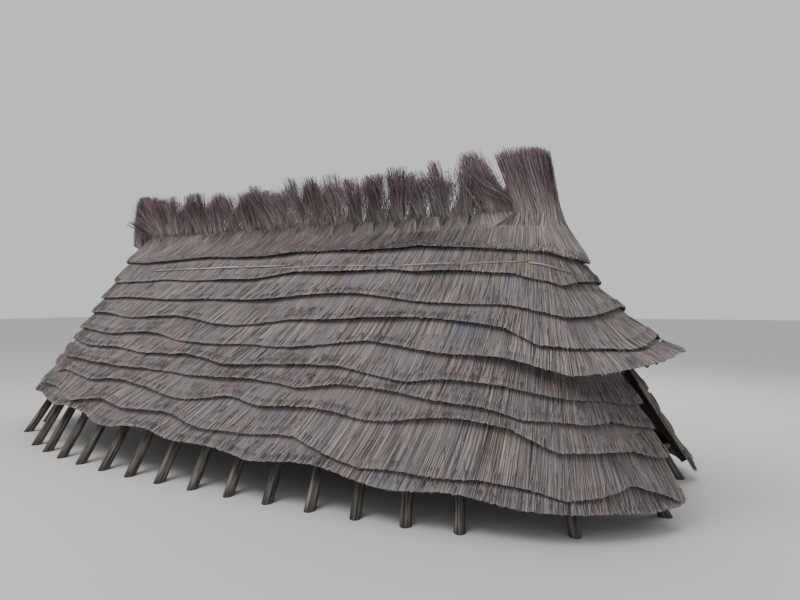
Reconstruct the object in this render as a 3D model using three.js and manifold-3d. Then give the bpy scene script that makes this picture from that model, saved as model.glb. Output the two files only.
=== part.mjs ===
// A bronze age longhouse rebuilt as an open-air exhibit: an A-frame of round poles on an
// oval plan, thatched with reed in ten lapped courses that stop just above the ground.
// The upper five courses run on round the front as a flared hood over a triangular doorway.
// Above the ridge the reed tips cross and stand up as a crest of tufts.
// Millimetres, +Z up. +X is the doorway end, Z = 0 is the lowest ground.
import * as THREE from "three";
import { mergeVertices } from "three/addons/utils/BufferGeometryUtils.js";
import Module from "manifold-3d";

// Driving dimensions of the thatched form
const RIDGE_HEIGHT = 3540; // where the reeds of the two slopes cross
const RIDGE_REAR_X = -4356;
const RIDGE_FRONT_X = 3476;
const PLAN_CENTRE_X = 341;
const PLAN_REAR_REACH = 6450;
const PLAN_FRONT_REACH = 5150;
const PLAN_HALF_WIDTH = 2574;
const PLAN_REAR_ROUNDNESS = 2.5; // exponent of the oval: 2 is an ellipse, more is squarer
const PLAN_FRONT_ROUNDNESS = 3.24;
const REED_FAN = 0.89; // travel of the reeds' heads along the ridge, per travel of their butts
const EAVE_HEIGHT = 471; // at X = 0; the eave follows rising ground to the rear
const EAVE_FALL = 0.043; // drop of the eave per millimetre towards the doorway
const FRONT_DROP = 200; // further drop beside the doorway, where the thatch reaches the ground
const FRONT_DROP_START_X = 3400;
const ORIGIN_X = -460; // middle of the finished length, moved to X = 0

// Thatch. Places down the slope are shares of it: 0 is the ridge and 1 the eave.
// Places round the plan are shares of its perimeter from the middle of the front, near side first.
const COURSE_THICKNESS = 110;
const BUTT_STEP = 55; // how far each course's cut ends stand proud of the next course
const COURSE_LAP = 0.05; // how far each course covers the next
const LARGEST_LAP = 0.55; // as a share of the course's own length
const COURSE_GAP = 0.6;
const COURSE_CLEARANCE = 0.0006; // between a course's inner part and the top edge below it
const CREST_CLEARANCE = 0.005;
const COURSE_ENDS = [0.16, 0.285, 0.395, 0.495, 0.592, 0.675, 0.748, 0.825, 0.925, 0.985];
const EDGE_WAVE = 0.007; // waviness of the courses' lower edges
const CREST_START = 0.05;
const CREST_ROOM = 0.6; // share of the half width at the crest's start that its reeds fill
const HOOD_ENDS = [0.2, 0.284, 0.383, 0.486, 0.53];
const HOOD_COURSES = HOOD_ENDS.length;
const HOOD_SPREAD = 0.125; // distance round the plan over which the hood fades out
const HOOD_REACHES = [
  [0, 0.16],
  [0.2, 0.317],
  [0.284, 0.39],
  [0.383, 0.56],
  [0.486, 0.75],
  [0.53, 0.93],
  [0.6, 1.1],
];
const HIDDEN_TOP = 0.1; // how much further the first wall course runs up behind the hood
const HOOD_DIP = 0.014; // how much it drops back where the hood begins to lift off it
const DOOR_HALF_WIDTH = 660;
const DOOR_SPLAYS = [0, 0, 0.0035, 0.008, 0.013]; // how much sooner each wall course stops there
const STATIONS = 48; // cross sections round the plan; the timber stands on them too

// Timber
const TIMBER_SIDES = 8;
const RAFTER_RADIUS = 60;
const BUTT_SWELL = 1.08; // a log's butt and head radius, as shares of its mean radius
const HEAD_TAPER = 0.86;
const RAIL_RADIUS = 35;
const RIDGE_POLE_RADIUS = 65;
const SEAT_GAP = 0.2;
const FIRST_PAIR = 6; // stations of the first and last pair of rafters
const LAST_PAIR = 19;
const FRONT_HOOP_END = FIRST_PAIR / STATIONS;
const REAR_HOOP_START = LAST_PAIR / STATIONS;
const RAIL_BREAK = 0.0007; // half the gap between rails that meet end to end
const RAIL_LEVELS = [
  // The upper levels run on under the hood. Room is left for facets of the thatch that twist,
  // and log is the rafters' radius at the rail, as a share of its mean.
  { name: "upper", slope: 0.27, hooded: true, room: 3.6, log: 0.9 },
  { name: "middle", slope: 0.46, hooded: true, room: 3.6, log: 0.94 },
  { name: "lower", slope: 0.86, hooded: false, room: 2.6, log: 1.03 },
];

const wasm = await Module();
wasm.setup();

const REED = material(0x8d7762, 0.95);
const REED_BUTTS = material(0x84705d, 0.95);
const REED_TIPS = material(0x7d6255, 0.97);
const LOG = material(0x6b6259, 0.88);
const ROD = material(0x9c8a76, 0.85);

const house = new THREE.Group();
house.position.x = -ORIGIN_X;

function material(color, roughness) {
  return new THREE.MeshStandardMaterial({ color, roughness, metalness: 0 });
}

function add(name, geometry, finish) {
  const mesh = new THREE.Mesh(geometry, finish);
  mesh.name = name;
  house.add(mesh);
}

// Solids that manifold-3d joins and cuts
function solid(geometry) {
  const bare = geometry.clone();
  bare.deleteAttribute("normal");
  bare.deleteAttribute("uv");
  const merged = mergeVertices(bare, 1e-3);
  return new wasm.Manifold(
    new wasm.Mesh({
      numProp: 3,
      vertProperties: new Float32Array(merged.attributes.position.array),
      triVerts: new Uint32Array(merged.index.array),
    }),
  );
}

function geometryOf(made) {
  const mesh = made.getMesh();
  const geometry = new THREE.BufferGeometry();
  geometry.setAttribute("position", new THREE.BufferAttribute(mesh.vertProperties, 3));
  geometry.setIndex(new THREE.BufferAttribute(mesh.triVerts, 1));
  return geometry;
}

function joined(geometries) {
  return geometries.map(solid).reduce((whole, next) => whole.add(next));
}

// The oval plan
const OVAL_STEPS = 720;
const oval = [];
for (let i = 0; i <= OVAL_STEPS; i++) {
  const angle = (Math.PI * 2 * i) / OVAL_STEPS;
  const c = Math.cos(angle);
  const s = Math.sin(angle);
  const power = 2 / (c > 0 ? PLAN_FRONT_ROUNDNESS : PLAN_REAR_ROUNDNESS);
  const reach = c > 0 ? PLAN_FRONT_REACH : PLAN_REAR_REACH;
  const x = PLAN_CENTRE_X + reach * Math.sign(c) * Math.abs(c) ** power;
  const y = -PLAN_HALF_WIDTH * Math.sign(s) * Math.abs(s) ** power;
  const last = oval.at(-1);
  const walked = last ? last.walked + Math.hypot(x - last.x, y - last.y) : 0;
  oval.push({ x, y, walked });
}
const PERIMETER = oval.at(-1).walked;

function wrap(share) {
  return share - Math.floor(share);
}

function eavePoint(share) {
  const distance = wrap(share) * PERIMETER;
  let low = 0;
  let high = OVAL_STEPS;
  while (high - low > 1) {
    const middle = (low + high) >> 1;
    if (oval[middle].walked <= distance) low = middle;
    else high = middle;
  }
  const a = oval[low];
  const b = oval[high];
  const t = (distance - a.walked) / (b.walked - a.walked);
  const x = a.x + (b.x - a.x) * t;
  return new THREE.Vector3(x, a.y + (b.y - a.y) * t, eaveHeight(x));
}

function eaveHeight(x) {
  const front = PLAN_CENTRE_X + PLAN_FRONT_REACH;
  const drop = FRONT_DROP * THREE.MathUtils.smoothstep(x, FRONT_DROP_START_X, front);
  return EAVE_HEIGHT - EAVE_FALL * x - drop;
}

const RIDGE_MIDDLE_X = (RIDGE_REAR_X + RIDGE_FRONT_X) / 2;

function ridgePoint(share) {
  const x = RIDGE_MIDDLE_X + (eavePoint(share).x - PLAN_CENTRE_X) * REED_FAN;
  return new THREE.Vector3(THREE.MathUtils.clamp(x, RIDGE_REAR_X, RIDGE_FRONT_X), 0, RIDGE_HEIGHT);
}

// The first share, walking the near side from the front, that a test accepts
const SEARCH_STEP = 0.0005;
function firstShare(test) {
  let share = 0;
  while (share < 0.5 && !test(share)) share += SEARCH_STEP;
  return share;
}

const DOOR_SHARE = firstShare((share) => -eavePoint(share).y >= DOOR_HALF_WIDTH);
const DOOR_SHARES = DOOR_SPLAYS.map((splay) => DOOR_SHARE + splay);

// The hood: 1 at the middle of the front, 0 past HOOD_SPREAD
function hoodShare(share) {
  const away = Math.min(wrap(share), 1 - wrap(share));
  return 1 - THREE.MathUtils.smoothstep(away, 0, HOOD_SPREAD);
}

function hoodReach(slope) {
  const next = Math.max(1, HOOD_REACHES.findIndex(([s]) => s >= slope));
  const [s0, r0] = HOOD_REACHES[next - 1];
  const [s1, r1] = HOOD_REACHES[next];
  return r0 + ((r1 - r0) * (slope - s0)) / (s1 - s0);
}

// A point of the thatch's outer surface
function surfacePoint(share, slope, hooded) {
  const ridge = ridgePoint(share);
  const eave = eavePoint(share);
  const hood = hooded ? hoodShare(share) : 0;
  const reach = hood ? THREE.MathUtils.lerp(slope, hoodReach(slope), hood) : slope;
  const point = ridge.clone().lerp(eave, reach);
  point.z = THREE.MathUtils.lerp(ridge.z, eave.z, slope);
  return point;
}

const NORMAL_STEP = 0.004;
const LEAST_NORMAL_SLOPE = 0.12; // nearer the ridge the ends of the roof come to a point

function outward(share, slope, hooded) {
  const at = Math.max(slope, LEAST_NORMAL_SLOPE);
  const round = surfacePoint(share + NORMAL_STEP, at, hooded).sub(
    surfacePoint(share - NORMAL_STEP, at, hooded),
  );
  const down = surfacePoint(share, at + NORMAL_STEP, hooded).sub(
    surfacePoint(share, at - NORMAL_STEP, hooded),
  );
  const normal = down.cross(round).normalize();
  return normal.z < 0 ? normal.negate() : normal;
}

function offsetPoint(share, slope, distance, hooded) {
  const normal = outward(share, slope, hooded);
  return surfacePoint(share, slope, hooded).addScaledVector(normal, distance);
}

// A solid swept through the same closed profile at each station. On the last edges of the
// profile the quads are split the other way, so that lapped solids share their facets.
function swept(profiles, closed, backward = 0) {
  const count = profiles[0].length;
  const index = [];
  const spans = closed ? profiles.length : profiles.length - 1;
  for (let i = 0; i < spans; i++) {
    const here = i * count;
    const there = ((i + 1) % profiles.length) * count;
    for (let k = 0; k < count; k++) {
      const next = (k + 1) % count;
      const [a, b, c, d] = [here + k, there + k, there + next, here + next];
      if (k < count - backward) index.push(a, b, c, a, c, d);
      else index.push(a, b, d, b, c, d);
    }
  }
  if (!closed) {
    const base = (profiles.length - 1) * count;
    for (const [a, b, c] of capTriangles(profiles[0])) index.push(a, b, c);
    for (const [a, b, c] of capTriangles(profiles.at(-1))) index.push(base + a, base + c, base + b);
  }
  const geometry = new THREE.BufferGeometry();
  const positions = profiles.flat().flatMap((p) => p.toArray());
  geometry.setAttribute("position", new THREE.Float32BufferAttribute(positions, 3));
  geometry.setIndex(index);
  return facingOut(geometry);
}

// Triangles that close a flat profile, seen in the plane it lies in
function capTriangles(profile) {
  const normal = new THREE.Vector3();
  profile.forEach((p, i) => {
    const next = profile[(i + 1) % profile.length].clone().sub(profile[0]);
    normal.add(p.clone().sub(profile[0]).cross(next));
  });
  normal.normalize();
  const side = new THREE.Vector3(0, 0, 1).cross(normal);
  if (side.length() < 0.1) side.set(1, 0, 0);
  side.normalize();
  const up = normal.clone().cross(side);
  const flat = profile.map((p) => new THREE.Vector2(p.dot(side), p.dot(up)));
  return THREE.ShapeUtils.triangulateShape(flat, []);
}

function facingOut(geometry) {
  const p = geometry.attributes.position;
  const index = geometry.index.array;
  const corner = [new THREE.Vector3(), new THREE.Vector3(), new THREE.Vector3()];
  let volume = 0;
  for (let i = 0; i < index.length; i += 3) {
    corner.forEach((v, k) => v.fromBufferAttribute(p, index[i + k]));
    volume += corner[0].dot(corner[1].clone().cross(corner[2])) / 6;
  }
  if (volume < 0)
    for (let i = 0; i < index.length; i += 3)
      [index[i + 1], index[i + 2]] = [index[i + 2], index[i + 1]];
  return geometry;
}

// Lower edge of a course at a station, and how far it covers the next one there
function plainEnd(course, share) {
  const turns = share * (9 + course);
  return COURSE_ENDS[course] + EDGE_WAVE * Math.sin(turns * Math.PI * 2 + course * 2.4);
}

function courseEnd(course, share) {
  const plain = plainEnd(course, share);
  if (course >= HOOD_COURSES) return plain;
  return THREE.MathUtils.lerp(plain, HOOD_ENDS[course], hoodShare(share));
}

function courseStart(course, share) {
  if (course === 0) return CREST_START;
  if (course === HOOD_COURSES) return plainEnd(course - 1, share);
  return courseEnd(course - 1, share);
}

function courseLap(course, share) {
  const own = courseEnd(course, share) - courseStart(course, share);
  return Math.min(COURSE_LAP, LARGEST_LAP * own);
}

// Cross section of a course: it tucks under the one above and steps proud of the one below
const BACKWARD_EDGES = 3; // edges of the cross section that run back up the slope

// The top edge of a course, tucked under the course or the hood above it
function courseTop(course, share) {
  if (course === 0) return CREST_START;
  const tucked = courseStart(course, share) - courseLap(course - 1, share);
  if (course !== HOOD_COURSES) return tucked;
  const hood = hoodShare(share);
  const lifting = THREE.MathUtils.smoothstep(hood, 0, 0.06);
  const lifted = THREE.MathUtils.smoothstep(hood, 0.4, 0.6);
  const hidden = THREE.MathUtils.smoothstep(hood, 0.5, 1);
  return tucked + HOOD_DIP * lifting * (1 - lifted) - HIDDEN_TOP * hidden;
}

// The ridge leaves less room for thickness where the roof's end comes to a point
function courseThickness(course, share) {
  if (course) return COURSE_THICKNESS;
  const run = surfacePoint(share, CREST_START, true).sub(ridgePoint(share));
  return Math.min(COURSE_THICKNESS, CREST_ROOM * Math.hypot(run.x, run.y));
}

function courseProfile(course, share) {
  const hooded = course < HOOD_COURSES;
  const end = courseEnd(course, share);
  const top = courseTop(course, share);
  const under = end - courseLap(course, share) - COURSE_CLEARANCE;
  const innerUnder = course ? under : under - CREST_CLEARANCE;
  const inside = -courseThickness(course, share);
  const shoulder = course
    ? [courseStart(course, share), -COURSE_GAP]
    : [(top + end) / 2, BUTT_STEP / 2];
  const corners = [
    [top, inside],
    [top, -COURSE_GAP],
    shoulder,
    [end, BUTT_STEP],
    [end, 0],
    [under, 0],
    [innerUnder, inside],
  ];
  return corners.map(([slope, out]) => offsetPoint(share, slope, out, hooded));
}

// Every piece that runs round the plan bends at the same stations
function stationsBetween(from, to) {
  const marks = [...new Set(DOOR_SHARES)].flatMap((share) => [share, 1 - share]);
  for (let i = 0; i < STATIONS; i++) marks.push(i / STATIONS);
  const inner = marks
    .map((mark) => from + wrap(mark - from))
    .filter((mark) => mark > from + SEARCH_STEP && mark < to - SEARCH_STEP)
    .sort((a, b) => a - b);
  return to - from >= 1 ? [from, ...inner] : [from, ...inner, to];
}

function course(number, from, to) {
  const profiles = stationsBetween(from, to).map((share) => courseProfile(number, share));
  return swept(profiles, to - from >= 1, BACKWARD_EDGES);
}

// Round pole through a list of points, with a corner of its outline turned to face each given
// way, so that poles that cross meet on their corners
function pole(centres, radii, facings) {
  const rings = centres.map((centre, i) => {
    const before = centres[Math.max(i - 1, 0)];
    const after = centres[Math.min(i + 1, centres.length - 1)];
    const along = after.clone().sub(before).normalize();
    const across = along.clone().cross(facings[i]).normalize();
    const up = across.clone().cross(along);
    return Array.from({ length: TIMBER_SIDES }, (_, k) => {
      const angle = (Math.PI * 2 * k) / TIMBER_SIDES;
      return centre
        .clone()
        .addScaledVector(across, radii[i] * Math.sin(angle))
        .addScaledVector(up, radii[i] * Math.cos(angle));
    });
  });
  return swept(rings, false);
}

function log(butt, head, facing) {
  const radii = [RAFTER_RADIUS * BUTT_SWELL, RAFTER_RADIUS * HEAD_TAPER];
  return pole([butt, head], radii, [facing, facing]);
}

// Feet are cut level where they meet the ground
const GROUND_BLOCK = 2000;

function cutAtGround(made) {
  const size = made.boundingBox();
  const width = size.max[0] - size.min[0] + GROUND_BLOCK;
  const depth = size.max[1] - size.min[1] + GROUND_BLOCK;
  const block = new THREE.BoxGeometry(width, depth, GROUND_BLOCK).translate(
    (size.max[0] + size.min[0]) / 2,
    (size.max[1] + size.min[1]) / 2,
    -GROUND_BLOCK / 2,
  );
  return made.subtract(solid(block));
}

function railDepth(level) {
  return COURSE_THICKNESS + level.room + RAIL_RADIUS;
}

// Where a rafter comes nearest to the rails outside it: the room there, less than nothing where
// they would meet, and the way from the rafter to the rail
function nearestRail(butt, head, share, levels) {
  const axis = new THREE.Line3(butt, head);
  const onAxis = new THREE.Vector3();
  const onRail = new THREE.Vector3();
  const from = Math.floor(share * STATIONS - 0.5) / STATIONS;
  const to = Math.ceil(share * STATIONS + 0.5) / STATIONS;
  const contacts = levels.flatMap((level) => {
    const spots = stationsBetween(from, to).map((at) =>
      offsetPoint(at, level.slope, -railDepth(level), false),
    );
    return spots.slice(1).map((spot, i) => {
      new THREE.Line3(spots[i], spot).distanceSqToLine3(axis, onRail, onAxis);
      const along = onAxis.distanceTo(butt) / axis.distance();
      const radius = RAFTER_RADIUS * THREE.MathUtils.lerp(BUTT_SWELL, HEAD_TAPER, along);
      const way = onRail.clone().sub(onAxis);
      return { room: way.length() - radius - RAIL_RADIUS, facing: way.normalize() };
    });
  });
  return contacts.reduce((least, next) => (next.room < least.room ? next : least));
}

// Axis of a rafter laid against the rails, from just below the ground to a place on the slope.
// Behind the hood only the lower rail reaches it.
function rafterAxis(share, top, aside = 0) {
  const levels = RAIL_LEVELS.filter((level) => !level.hooded || hoodShare(share) === 0);
  const [upper, , lower] = RAIL_LEVELS;
  const seat = (level) => {
    const lean = aside * outward(share, level.slope, false).x;
    const depth = railDepth(level) + RAIL_RADIUS + RAFTER_RADIUS * level.log + lean;
    const point = offsetPoint(share, level.slope, -depth, false);
    point.x += aside;
    return point;
  };
  const high = seat(upper);
  const low = seat(lower);
  const run = low.clone().sub(high);
  const rise = (top - upper.slope) / (lower.slope - upper.slope);
  const drop = (high.z + 3 * RAFTER_RADIUS) / (high.z - low.z);
  const butt = high.clone().addScaledVector(run, drop);
  const head = high.clone().addScaledVector(run, rise);
  const { room, facing } = nearestRail(butt, head, share, levels);
  const shift = facing.clone().multiplyScalar(room - SEAT_GAP);
  return { butt: butt.add(shift), head: head.add(shift), facing };
}

// Two rafters that cross side by side over the ridge pole, lashed into one frame
const CROSSING_OVERRUN = 0.025;
const LASHING_RADIUS = 72;
const LASHING_LENGTH = 180;
const SIDE_BY_SIDE = RAFTER_RADIUS * 0.8;

function crossingOf(share) {
  const aside = share < 0.5 ? -SIDE_BY_SIDE : SIDE_BY_SIDE;
  const { butt, head, facing } = rafterAxis(share, 0, aside);
  const run = head.clone().sub(butt);
  const at = butt.y / (butt.y - head.y);
  return { butt, run, facing, crossing: butt.clone().addScaledVector(run, at) };
}

function rafterPair(share) {
  const logs = [share, 1 - share].map((at) => {
    const { butt, run, facing, crossing } = crossingOf(at);
    return log(butt, crossing.addScaledVector(run, CROSSING_OVERRUN), facing);
  });
  const { crossing } = crossingOf(share);
  const lashing = new THREE.CylinderGeometry(
    LASHING_RADIUS,
    LASHING_RADIUS,
    LASHING_LENGTH,
    TIMBER_SIDES,
  )
    .rotateZ(Math.PI / 2)
    .translate(crossing.x + SIDE_BY_SIDE, 0, crossing.z);
  return geometryOf(cutAtGround(joined([...logs, lashing])));
}

function singleRafter(share, top) {
  const { butt, head, facing } = rafterAxis(share, top);
  return geometryOf(cutAtGround(solid(log(butt, head, facing))));
}

// Pole of even thickness laid along places on the roof, each a share, a slope and a distance out
function poleAlong(places, radius, hooded) {
  const centres = places.map(([share, slope, out]) => offsetPoint(share, slope, out, hooded));
  const facings = places.map(([share, slope]) => outward(share, slope, hooded));
  return pole(centres, Array(places.length).fill(radius), facings);
}

function rail(level, from, to) {
  const places = stationsBetween(from, to).map((share) => [share, level.slope, -railDepth(level)]);
  return poleAlong(places, RAIL_RADIUS, level.hooded);
}

// The hood's own bent rafters, from the ridge pole's end out to the hood's lip
const HOOD_RAFTER_RADIUS = 28;
const HOOD_RAFTER_ROOM = 0.9;
const HOOD_RAFTER_DEPTH =
  railDepth(RAIL_LEVELS[0]) + RAIL_RADIUS + HOOD_RAFTER_RADIUS + HOOD_RAFTER_ROOM;
const HOOD_RAFTER_STATIONS = { near: 1, middle: 0, far: -1 };
const HOOD_RAFTER_SLOPES = [0.16, RAIL_LEVELS[0].slope, 0.36, RAIL_LEVELS[1].slope, 0.5];

function hoodRafter(share) {
  const places = HOOD_RAFTER_SLOPES.map((slope) => [share, slope, -HOOD_RAFTER_DEPTH]);
  return poleAlong(places, HOOD_RAFTER_RADIUS, true);
}

// The ridge pole lies in the crooks of the crossed rafters
const RIDGE_POLE_FRONT = RIDGE_FRONT_X + 356.5;
const RIDGE_POLE_REAR = RIDGE_REAR_X + 79.2;
const CROOK_SHARE = 0.93; // the rafters' radius there, as a share of its mean
const POLE_RISE = 33.4; // how much higher the pole lies, as the rafters taper and cross aslant

function ridgePole() {
  const reach = RIDGE_POLE_RADIUS + RAFTER_RADIUS * CROOK_SHARE + SEAT_GAP;
  const sides = pairShares().flatMap((share) => [share, 1 - share]);
  const seats = sides.map((share) => {
    const { run, crossing } = crossingOf(share);
    const crook = reach / Math.cos(Math.atan2(run.z, Math.abs(run.y)));
    return crossing.z - Math.max(crook, LASHING_RADIUS + RIDGE_POLE_RADIUS + SEAT_GAP);
  });
  const length = RIDGE_POLE_FRONT - RIDGE_POLE_REAR;
  return new THREE.CylinderGeometry(RIDGE_POLE_RADIUS, RIDGE_POLE_RADIUS, length, TIMBER_SIDES)
    .rotateZ(Math.PI / 2)
    .translate((RIDGE_POLE_FRONT + RIDGE_POLE_REAR) / 2, 0, Math.min(...seats) + POLE_RISE);
}

// The crest: the top course of each slope, whose bundles cross over the ridge in turn
const TUFTS_FRONT_X = 2845;
const TUFTS_REAR_X = -4060;
const TUFT_COUNT = 12; // on each side
const TUFT_GAP = 16;
const TUFT_RISE = 720;
const TUFT_LEAN = 300;
const TUFT_THICKNESS = 96;
const TUFT_KNEE = 25; // how far past the ridge a bundle bends up
const TUFT_FOOT = 170;
const CREST_FRONT = (FIRST_PAIR - 1) / STATIONS;
const CREST_REAR = LAST_PAIR / STATIONS;
const CAP_JOINT = 0.0002;

function flatBundle(low, high, half, lowDepth, highDepth) {
  const face = high.clone().sub(low).cross(new THREE.Vector3(1, 0, 0)).normalize();
  const ring = (centre, depth) =>
    [
      [-half, -depth / 2],
      [half, -depth / 2],
      [half, depth / 2],
      [-half, depth / 2],
    ].map(([x, out]) => centre.clone().add(new THREE.Vector3(x, 0, 0)).addScaledVector(face, out));
  return swept([ring(low, lowDepth), ring(high, highDepth)], false);
}

function crestSide(near) {
  const [from, to] = near ? [CREST_FRONT, CREST_REAR] : [1 - CREST_REAR, 1 - CREST_FRONT];
  const pitch = (TUFTS_FRONT_X - TUFTS_REAR_X) / (TUFT_COUNT * 2);
  const half = (pitch - TUFT_GAP) / 2;
  const past = near ? 1 : -1;
  const steepness = (RIDGE_HEIGHT - EAVE_HEIGHT) / PLAN_HALF_WIDTH;
  const footDrop = TUFT_FOOT * steepness + COURSE_THICKNESS / 4;
  const bundles = [];
  for (let i = 0; i < TUFT_COUNT; i++) {
    const x = TUFTS_REAR_X + pitch * (2 * i + (near ? 0.5 : 1.5));
    const foot = new THREE.Vector3(x, -past * TUFT_FOOT, RIDGE_HEIGHT - footDrop);
    const knee = new THREE.Vector3(x, past * TUFT_KNEE, RIDGE_HEIGHT);
    const tip = new THREE.Vector3(x, past * TUFT_LEAN, RIDGE_HEIGHT + TUFT_RISE);
    const bend = knee.clone().lerp(foot, 0.15);
    bundles.push(flatBundle(foot, knee, half, TUFT_THICKNESS / 2, TUFT_THICKNESS));
    bundles.push(flatBundle(bend, tip, half, TUFT_THICKNESS, TUFT_THICKNESS / 2));
  }
  return geometryOf(joined([course(0, from, to), ...bundles]));
}

// The top course round an end of the ridge, gathered into one big standing tuft
const BIG_TUFT_SIDES = 10;

function crestEnd(from, to, levels) {
  const rings = levels.map(({ x, z, long, wide }) =>
    Array.from({ length: BIG_TUFT_SIDES }, (_, k) => {
      const angle = (Math.PI * 2 * k) / BIG_TUFT_SIDES;
      return new THREE.Vector3(x + long * Math.cos(angle), wide * Math.sin(angle), z);
    }),
  );
  return geometryOf(joined([course(0, from, to), swept(rings, false)]));
}

const FRONT_TUFT = [
  { x: RIDGE_FRONT_X + 90, z: RIDGE_HEIGHT - 235, long: 210, wide: 110 },
  { x: RIDGE_FRONT_X + 50, z: RIDGE_HEIGHT, long: 300, wide: 200 },
  { x: RIDGE_FRONT_X - 160, z: RIDGE_HEIGHT + 780, long: 335, wide: 330 },
];
const REAR_TUFT = [
  { x: RIDGE_REAR_X - 70, z: RIDGE_HEIGHT - 225, long: 85, wide: 85 },
  { x: RIDGE_REAR_X - 100, z: RIDGE_HEIGHT, long: 140, wide: 180 },
  { x: RIDGE_REAR_X + 190, z: RIDGE_HEIGHT + 760, long: 200, wide: 260 },
];

// Slender rod sewn over the second course
const ROD_RADIUS = 14;
const ROD_ROOM = { near: 3, far: 2.2 }; // over facets that twist unlike on the two sides
const ROD_SLOPE = 0.225;
const ROD_ENDS = [6 / STATIONS, 17 / STATIONS];

function tyingRod(from, to, room) {
  const places = stationsBetween(from, to).map((share) => {
    const shown = courseStart(1, share);
    const rise = (ROD_SLOPE - shown) / (courseEnd(1, share) - shown);
    const surface = THREE.MathUtils.lerp(-COURSE_GAP, BUTT_STEP, rise);
    return [share, ROD_SLOPE, surface + ROD_RADIUS + room];
  });
  return poleAlong(places, ROD_RADIUS, true);
}

function pairShares() {
  const count = LAST_PAIR - FIRST_PAIR + 1;
  return Array.from({ length: count }, (_, i) => (FIRST_PAIR + i) / STATIONS);
}

function addThatch() {
  add("thatch_crest_near", crestSide(true), REED_TIPS);
  add("thatch_crest_far", crestSide(false), REED_TIPS);
  const front = CREST_FRONT - CAP_JOINT;
  const rear = CREST_REAR + CAP_JOINT;
  add("thatch_crest_front", crestEnd(-front, front, FRONT_TUFT), REED_TIPS);
  add("thatch_crest_rear", crestEnd(rear, 1 - rear, REAR_TUFT), REED_TIPS);
  for (let number = 1; number < COURSE_ENDS.length; number++) {
    const finish = number % 2 ? REED : REED_BUTTS;
    const door = DOOR_SHARES[number - HOOD_COURSES];
    if (number < HOOD_COURSES) add(`thatch_hooded_course_${number}`, course(number, 0, 1), finish);
    else add(`thatch_wall_course_${number}`, course(number, door, 1 - door), finish);
  }
  const [start, end] = ROD_ENDS;
  add("tying_rod_near", tyingRod(start, end, ROD_ROOM.near), ROD);
  add("tying_rod_far", tyingRod(1 - end, 1 - start, ROD_ROOM.far), ROD);
}

function addRails() {
  for (const level of RAIL_LEVELS) {
    const front = (level.hooded ? FRONT_HOOP_END : DOOR_SHARES.at(-3)) + RAIL_BREAK;
    const rear = REAR_HOOP_START - RAIL_BREAK;
    const past = REAR_HOOP_START + RAIL_BREAK;
    const end = FRONT_HOOP_END - RAIL_BREAK;
    add(`near_rail_${level.name}`, rail(level, front, rear), LOG);
    add(`far_rail_${level.name}`, rail(level, 1 - rear, 1 - front), LOG);
    add(`rear_hoop_${level.name}`, rail(level, past, 1 - past), LOG);
    if (level.hooded) add(`hood_hoop_${level.name}`, rail(level, -end, end), LOG);
  }
}

// Rafters that stand alone: round the rear end, at the front corners and beside the doorway
const LONE_RAFTERS = [
  ["rear_rafter_middle", 24, 0.14],
  ["rear_rafter_near_inner", 22.5, 0.24],
  ["rear_rafter_far_inner", 25.5, 0.24],
  ["rear_rafter_near_outer", 21, 0.26],
  ["rear_rafter_far_outer", 27, 0.26],
  ["front_corner_rafter_near", 4, 0.24],
  ["front_corner_rafter_far", 44, 0.24],
  ["door_rafter_near", 1.5, 0.2],
  ["door_rafter_far", 46.5, 0.2],
];

function addTimber() {
  pairShares().forEach((share, i) => add(`rafter_pair_${i + 1}`, rafterPair(share), LOG));
  for (const [name, station, top] of LONE_RAFTERS) {
    add(name, singleRafter(station / STATIONS, top), LOG);
  }
  add("ridge_pole", ridgePole(), LOG);
  for (const [side, station] of Object.entries(HOOD_RAFTER_STATIONS)) {
    add(`hood_rafter_${side}`, hoodRafter(station / STATIONS), LOG);
  }
}

addThatch();
addRails();
addTimber();

export default house;
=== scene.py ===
"""A bronze age longhouse: lapped reed courses, a crest of crossed reed tips and round timber.

Everything is in metres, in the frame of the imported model: +X is the doorway end, +Z is up.
Places round the plan are shares of its perimeter from the middle of the front, near side first.
Places down the slope are shares of it: 0 is the ridge and 1 the eave.
"""

import math

import bpy
import numpy as np
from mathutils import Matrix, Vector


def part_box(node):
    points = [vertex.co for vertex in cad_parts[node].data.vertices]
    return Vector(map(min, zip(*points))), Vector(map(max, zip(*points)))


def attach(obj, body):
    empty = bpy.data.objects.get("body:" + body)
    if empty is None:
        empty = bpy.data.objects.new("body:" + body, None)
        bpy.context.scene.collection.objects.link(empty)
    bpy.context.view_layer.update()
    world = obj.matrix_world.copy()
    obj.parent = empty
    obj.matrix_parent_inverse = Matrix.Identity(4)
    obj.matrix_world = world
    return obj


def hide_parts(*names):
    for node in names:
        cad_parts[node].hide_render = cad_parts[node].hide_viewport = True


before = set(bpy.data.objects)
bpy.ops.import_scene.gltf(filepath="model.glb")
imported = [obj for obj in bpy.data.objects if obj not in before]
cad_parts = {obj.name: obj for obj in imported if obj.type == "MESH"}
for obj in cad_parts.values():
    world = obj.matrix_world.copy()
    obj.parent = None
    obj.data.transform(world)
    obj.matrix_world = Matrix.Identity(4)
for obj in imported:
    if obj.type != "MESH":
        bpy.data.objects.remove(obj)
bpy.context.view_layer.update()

# The camera stands where the picture was taken, for a frame of 800 x 600
EYE = (6.378, -8.096, 2.33)
VIEW_YAW = math.radians(29.2)
VIEW_PITCH = math.radians(0.3)
LENS_MM = 27.54

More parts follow.
